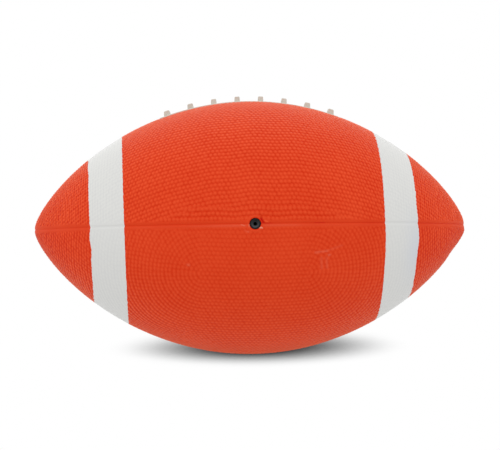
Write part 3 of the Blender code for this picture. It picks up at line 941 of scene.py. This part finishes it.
class FOOTBALL_OT_lining(bpy.types.Operator):
    """Gives the layers under the cover and the valve's boot their materials."""

    bl_idname = "football.lining"
    bl_label = "Lining"

    def execute(self, context):
        # Rolled or moulded rubber and yarn are dull, and a dipped skin has a soft shine.
        matt = {"Roughness": 0.7, "IOR": 1.5, "Specular IOR Level": 0.3}
        satin = {"Roughness": 0.4, "IOR": 1.5, "Specular IOR Level": 0.4}
        # Name, clean and soiled colour, settings, size of the clouds, size of the tooth
        finishes = {
            "carcass": ("calendered_brown_rubber", "#463F3A", "#3A332E", matt, 20 * MM, 0.8 * MM),
            "winding": ("wound_nylon_yarn", "#CFC9BC", "#BDB6A6", matt, 3 * MM, 0.9 * MM),
            "bladder": ("dipped_butyl_rubber", "#262627", "#2F2F30", satin, 30 * MM, 1.5 * MM),
            "valve_boot": ("moulded_boot_rubber", "#2D2D2D", "#383836", matt, 6 * MM, 0.4 * MM),
        }
        for node, (name, clean, soiled, settings, cloud, tooth) in finishes.items():
            material = clouded_material(name, linear(clean), linear(soiled), settings, cloud, tooth)
            frame["nodes"][node].material_slots[0].material = material
        return {"FINISHED"}


class FOOTBALL_OT_stage(bpy.types.Operator):
    """Makes the white floor, the soft light and the camera."""

    bl_idname = "football.stage"
    bl_label = "Stage"

    def execute(self, context):
        scene = context.scene
        scene.view_settings.view_transform = "Standard"
        self.make_floor(scene)
        self.make_light(scene)
        self.make_camera(scene, scene.football_sizes)
        return {"FINISHED"}

    def make_floor(self, scene):
        """A level sheet that lights the ball evenly with its own glow, and shows the camera white, with a
        painted shadow that is grey where the ball closes it off.

        Light comes more from the camera's side, so the openness is taken about a line that leans that way.
        """
        half, sunk = 6.0, 0.05 * MM
        corners = np.array([[x, y, -sunk] for y in (-half, half) for x in (-half, half)])
        sheet = bpy.data.materials.new("white_paper_sheet")
        sheet.use_nodes = True
        tree = sheet.node_tree
        tree.nodes.clear()
        whitest = 0.5
        lit = add_node(tree, "ShaderNodeEmission", {"Color": (*scene.football_colours.floor, 1.0)})
        lean = add_node(tree, "ShaderNodeCombineXYZ", {"X": -0.10, "Y": -0.29, "Z": 0.952})
        reach = {"Distance": 0.5, "Normal": lean.outputs[0]}
        openness = add_node(tree, "ShaderNodeAmbientOcclusion", reach, samples=32)
        span = {"Value": openness.outputs["AO"], "From Max": whitest}
        level = add_node(tree, "ShaderNodeMapRange", span, interpolation_type="SMOOTHSTEP")
        painted_floor_shadow = add_node(tree, "ShaderNodeEmission", {"Strength": level.outputs["Result"]})
        choice = {0: background_rays(tree), 1: lit.outputs[0], 2: painted_floor_shadow.outputs[0]}
        either = add_node(tree, "ShaderNodeMixShader", choice)
        add_node(tree, "ShaderNodeOutputMaterial", {"Surface": either.outputs[0]})
        floor = make_piece("floor", corners, np.array([[0, 1, 3, 2]]), sheet, {})

    def make_light(self, scene):
        """Even white light from all round, and large soft lamps above, behind and at the tips."""
        around = 0.94
        world = bpy.data.worlds.new("white_room")
        world.use_nodes = True
        tree = world.node_tree
        tree.nodes.clear()
        span = {"Value": background_rays(tree), "To Min": around}
        strength = add_node(tree, "ShaderNodeMapRange", span).outputs["Result"]
        room = add_node(tree, "ShaderNodeBackground", {"Color": (1.0, 1.0, 1.0, 1.0), "Strength": strength})
        add_node(tree, "ShaderNodeOutputWorld", {"Surface": room.outputs[0]})
        scene.world = world
        # Watts, and place in metres
        lamps = {
            "top_lamp": (2.0, (-0.1, -0.6, 1.4)),
            "back_lamp": (2.8, (0.0, 0.9, 0.8)),
            "left_lamp": (1.6, (-1.2, -0.5, 0.3)),
            "right_lamp": (1.2, (1.2, -0.5, 0.3)),
        }
        for name, (power, place) in lamps.items():
            lamp = bpy.data.lights.new(name, "AREA")
            lamp.size = 1.2
            lamp.energy = power
            holder = bpy.data.objects.new(name, lamp)
            holder.location = place
            holder.rotation_euler = (-holder.location).to_track_quat("-Z", "Y").to_euler()
            scene.collection.objects.link(holder)

    def make_camera(self, scene, sizes):
        """A long lens near the floor, a little to the left of square on."""
        distance = 0.80
        turn, height, tilt = (math.radians(angle) for angle in (-1.96, 6.0, -0.53))
        aim_right, aim_up = -0.35 * MM, 1.72 * MM
        lens = bpy.data.cameras.new("camera")
        lens.lens = 86.4
        camera = bpy.data.objects.new("camera", lens)
        camera.rotation_euler = (QUARTER - height, 0.0, turn)
        camera.rotation_euler.rotate_axis("Z", tilt)
        middle = Vector((0, 0, sizes.ball_diameter / 2 - sizes.rest_dent))
        aside = camera.rotation_euler.to_matrix() @ Vector((aim_right, aim_up, distance))
        camera.location = middle + aside
        scene.collection.objects.link(camera)
        scene.camera = camera


class FOOTBALL_PT_sidebar(bpy.types.Panel):
    """Lists the sizes, the colours and the steps that build the ball."""

    bl_idname = "FOOTBALL_PT_sidebar"
    bl_label = "Football"
    bl_space_type = "VIEW_3D"
    bl_region_type = "UI"
    bl_category = "Football"

    def draw(self, context):
        for group in (context.scene.football_sizes, context.scene.football_colours):
            box = self.layout.box()
            for name in type(group).__annotations__:
                box.prop(group, name)
        for step in STEPS:
            self.layout.operator(step.bl_idname)


STEPS = (
    FOOTBALL_OT_stage,
    FOOTBALL_OT_cover,
    FOOTBALL_OT_rings,
    FOOTBALL_OT_laces,
    FOOTBALL_OT_valve,
    FOOTBALL_OT_lining,
)
CLASSES = (FootballSizes, FootballColours, *STEPS, FOOTBALL_PT_sidebar)


def register():
    for listed in CLASSES:
        bpy.utils.register_class(listed)
    bpy.types.Scene.football_sizes = bpy.props.PointerProperty(type=FootballSizes)
    bpy.types.Scene.football_colours = bpy.props.PointerProperty(type=FootballColours)


def unregister():
    del bpy.types.Scene.football_colours
    del bpy.types.Scene.football_sizes
    for listed in reversed(CLASSES):
        bpy.utils.unregister_class(listed)


def main():
    register()
    bpy.ops.football.stage()
    bpy.ops.football.cover()
    bpy.ops.football.rings()
    bpy.ops.football.laces()
    bpy.ops.football.valve()
    bpy.ops.football.lining()


if __name__ == "__main__":
    main()
